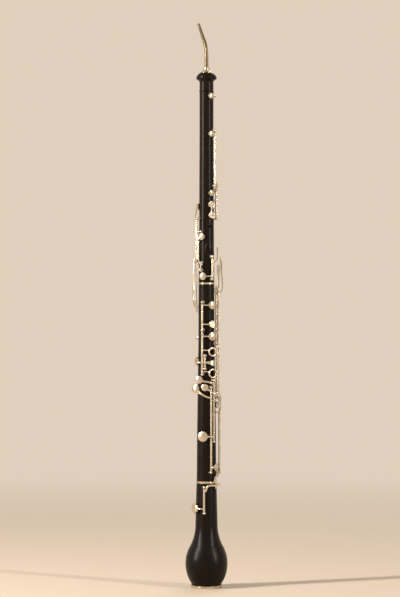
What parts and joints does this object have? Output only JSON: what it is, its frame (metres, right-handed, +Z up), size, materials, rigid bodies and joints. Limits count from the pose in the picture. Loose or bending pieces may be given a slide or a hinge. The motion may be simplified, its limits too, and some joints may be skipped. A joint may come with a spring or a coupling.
{
  "type": "english horn",
  "caption": "Alto double-reed woodwind of dark wood: bulb-shaped bell, two tenoned joints with silvery key work on ball posts, and a bent metal bocal that carries the reed.",
  "frame": {"origin": "centre of the bell's mouth, in the plane of the rim that it stands on", "axes": "+Z up along the bore to the bocal; -Y is the front with the finger holes; +X is the player's left"},
  "size_m": [0.065, 0.065, 0.871],
  "materials": {
    "blackwood": "oiled, satin",
    "bell_blackwood": "oiled, satin",
    "silver_rings": "polished nickel silver",
    "key_metal": "polished nickel silver",
    "post_metal": "polished nickel silver",
    "rod_steel": "polished steel",
    "bocal_metal": "polished, slightly tarnished",
    "cork": "matt",
    "pad_skin": "satin",
    "spring_steel": "blued steel"
  },
  "bodies": {
    "bell": {"bell": "bell_blackwood", "bell_socket_ring": "silver_rings", "bell_rim_ring": "silver_rings", "bell_rods": "rod_steel", "bell_posts": "post_metal", "bell_springs": "spring_steel"},
    "lower_joint": {"lower_joint": "blackwood", "lower_socket_ring": "silver_rings", "lower_tenon_cork": "cork", "lower_tenon_cap": "silver_rings", "lower_rods": "rod_steel", "lower_posts": "post_metal", "lower_springs": "spring_steel", "link_cork": "cork", "thumb_rest": "key_metal", "thumb_rest_screws": "key_metal"},
    "upper_joint": {"upper_joint": "blackwood", "octave_inserts": "silver_rings", "upper_tenon_cork": "cork", "upper_tenon_cap": "silver_rings", "bocal_receiver": "silver_rings", "upper_rods": "rod_steel", "upper_posts": "post_metal", "upper_springs": "spring_steel"},
    "bocal": {"bocal_tube": "bocal_metal", "bocal_cork": "cork"},
    "upper_octave_key_body": {"upper_octave_key": "key_metal", "upper_octave_pad": "pad_skin"},
    "lower_octave_key_body": {"lower_octave_key": "key_metal", "lower_octave_pad": "pad_skin"},
    "small_trill_key_body": {"small_trill_key": "key_metal", "small_trill_pad": "pad_skin"},
    "half_hole_plate_body": {"half_hole_plate": "key_metal", "half_hole_plate_pad": "pad_skin"},
    "outer_trill_key_body": {"outer_trill_key": "key_metal", "outer_trill_pad": "pad_skin"},
    "inner_trill_key_body": {"inner_trill_key": "key_metal", "inner_trill_pad": "pad_skin"},
    "g_sharp_key_body": {"g_sharp_key": "key_metal", "g_sharp_pad": "pad_skin"},
    "first_finger_key_body": {"first_finger_key": "key_metal", "first_finger_pad": "pad_skin"},
    "ring_key_body": {"ring_key": "key_metal", "ring_pad": "pad_skin"},
    "f_key_body": {"f_key": "key_metal", "f_pad": "pad_skin"},
    "e_flat_key_body": {"e_flat_key": "key_metal", "e_flat_pad": "pad_skin"},
    "c_sharp_key_body": {"c_sharp_key": "key_metal", "c_sharp_pad": "pad_skin"},
    "c_key_body": {"c_key": "key_metal", "c_pad": "pad_skin"},
    "low_b_lever_body": {"low_b_lever": "key_metal"},
    "left_e_flat_lever_body": {"left_e_flat_lever": "key_metal"},
    "e_flat_bridge_body": {"e_flat_bridge": "key_metal"},
    "low_b_link_body": {"low_b_link": "key_metal"},
    "bell_key_body": {"bell_key": "key_metal", "bell_pad": "pad_skin"}
  },
  "joints": [
    {"name": "bell_tenon_slide", "type": "slide", "parent": "bell", "child": "lower_joint", "axis": [0, 0, 1], "range_m": [0, 0.025]},
    {"name": "middle_tenon_slide", "type": "slide", "parent": "lower_joint", "child": "upper_joint", "axis": [0, 0, 1], "range_m": [0, 0.025]},
    {"name": "bocal_slide", "type": "slide", "parent": "upper_joint", "child": "bocal", "axis": [0, 0, 1], "range_m": [0, 0.024]},
    {"name": "upper_octave_key_hinge", "type": "hinge", "parent": "upper_joint", "child": "upper_octave_key_body", "pos_m": [0.01306, 0.00528, 0.693], "axis": [0, 0, 1], "range_deg": [0, 4.5], "stiffness_Nm_per_rad": 0.02, "springref_deg": -17.19},
    {"name": "lower_octave_key_hinge", "type": "hinge", "parent": "upper_joint", "child": "lower_octave_key_body", "pos_m": [0.00856, -0.01137, 0.66075], "axis": [0, 0, 1], "range_deg": [0, 7], "stiffness_Nm_per_rad": 0.02, "springref_deg": -17.19},
    {"name": "small_trill_key_hinge", "type": "hinge", "parent": "upper_joint", "child": "small_trill_key_body", "pos_m": [0.01192, -0.01, 0.5905], "axis": [0, 0, 1], "range_deg": [0, 5.5], "stiffness_Nm_per_rad": 0.02, "springref_deg": -17.19},
    {"name": "half_hole_plate_hinge", "type": "hinge", "parent": "upper_joint", "child": "half_hole_plate_body", "pos_m": [0.01192, -0.01, 0.5905], "axis": [0, 0, -1], "range_deg": [0, 4], "stiffness_Nm_per_rad": 0.02, "springref_deg": -17.19},
    {"name": "outer_trill_key_hinge", "type": "hinge", "parent": "upper_joint", "child": "outer_trill_key_body", "pos_m": [-0.01564, 0.00276, 0.5355], "axis": [0, 0, 1], "range_deg": [0, 10], "stiffness_Nm_per_rad": 0.02, "springref_deg": -17.19},
    {"name": "inner_trill_key_hinge", "type": "hinge", "parent": "upper_joint", "child": "inner_trill_key_body", "pos_m": [-0.01582, -0.00222, 0.5235], "axis": [0, 0, -1], "range_deg": [0, 10], "stiffness_Nm_per_rad": 0.02, "springref_deg": -17.19},
    {"name": "g_sharp_key_hinge", "type": "hinge", "parent": "upper_joint", "child": "g_sharp_key_body", "pos_m": [0.0017, -0.01614, 0.4919], "axis": [0, 0, 1], "range_deg": [0, 6.5], "stiffness_Nm_per_rad": 0.02, "springref_deg": -17.19},
    {"name": "first_finger_key_hinge", "type": "hinge", "parent": "lower_joint", "child": "first_finger_key_body", "pos_m": [-0.01302, -0.01017, 0.38375], "axis": [0, 0, 1], "range_deg": [0, 4], "stiffness_Nm_per_rad": 0.02, "springref_deg": -17.19},
    {"name": "ring_key_hinge", "type": "hinge", "parent": "lower_joint", "child": "ring_key_body", "pos_m": [-0.01302, -0.01017, 0.38375], "axis": [0, 0, 1], "range_deg": [0, 4], "stiffness_Nm_per_rad": 0.02, "springref_deg": -17.19},
    {"name": "f_key_hinge", "type": "hinge", "parent": "lower_joint", "child": "f_key_body", "pos_m": [-0.01025, -0.01361, 0.347], "axis": [0, 0, 1], "range_deg": [0, 7], "stiffness_Nm_per_rad": 0.02, "springref_deg": -17.19},
    {"name": "e_flat_key_hinge", "type": "hinge", "parent": "lower_joint", "child": "e_flat_key_body", "pos_m": [-0.00158, -0.01804, 0.24325], "axis": [0, 0, -1], "range_deg": [0, 5], "stiffness_Nm_per_rad": 0.02, "springref_deg": -17.19},
    {"name": "c_sharp_key_hinge", "type": "hinge", "parent": "lower_joint", "child": "c_sharp_key_body", "pos_m": [-0.00158, -0.01804, 0.24325], "axis": [0, 0, -1], "range_deg": [0, 5.5], "stiffness_Nm_per_rad": 0.02, "springref_deg": -17.19},
    {"name": "c_key_hinge", "type": "hinge", "parent": "lower_joint", "child": "c_key_body", "pos_m": [0.00338, -0.01737, 0.27255], "axis": [0, 0, -1], "range_deg": [0, 5], "stiffness_Nm_per_rad": 0.02, "springref_deg": -17.19},
    {"name": "low_b_lever_hinge", "type": "hinge", "parent": "lower_joint", "child": "low_b_lever_body", "pos_m": [0.0162, -0.00861, 0.375], "axis": [0, 0, 1], "range_deg": [0, 8], "stiffness_Nm_per_rad": 0.02, "springref_deg": -17.19},
    {"name": "left_e_flat_lever_hinge", "type": "hinge", "parent": "lower_joint", "child": "left_e_flat_lever_body", "pos_m": [0.0163, -0.00171, 0.415], "axis": [0, 0, 1], "range_deg": [0, 8], "stiffness_Nm_per_rad": 0.02, "springref_deg": -17.19},
    {"name": "e_flat_bridge_hinge", "type": "hinge", "parent": "lower_joint", "child": "e_flat_bridge_body", "pos_m": [0.01126, -0.01296, 0.338], "axis": [0, 0, -1], "range_deg": [0, 12], "stiffness_Nm_per_rad": 0.002, "springref_deg": -17.19},
    {"name": "low_b_link_hinge", "type": "hinge", "parent": "lower_joint", "child": "low_b_link_body", "pos_m": [0.01755, -0.00933, 0.2235], "axis": [0, 0, 1], "range_deg": [0, 8], "stiffness_Nm_per_rad": 0.02, "springref_deg": -17.19},
    {"name": "bell_key_hinge", "type": "hinge", "parent": "bell", "child": "bell_key_body", "pos_m": [-0.01261, -0.01558, 0.1354], "axis": [0, 0, -1], "range_deg": [0, 6], "stiffness_Nm_per_rad": 0.02, "springref_deg": -17.19}
  ],
  "couplings": [
    {"joint": "low_b_link_hinge", "follows": "low_b_lever_hinge", "ratio": 1},
    {"joint": "bell_key_hinge", "follows": "low_b_lever_hinge", "ratio": 0.75},
    {"joint": "e_flat_bridge_hinge", "follows": "left_e_flat_lever_hinge", "ratio": 1.5},
    {"joint": "e_flat_key_hinge", "follows": "left_e_flat_lever_hinge", "ratio": 0.625}
  ]
}
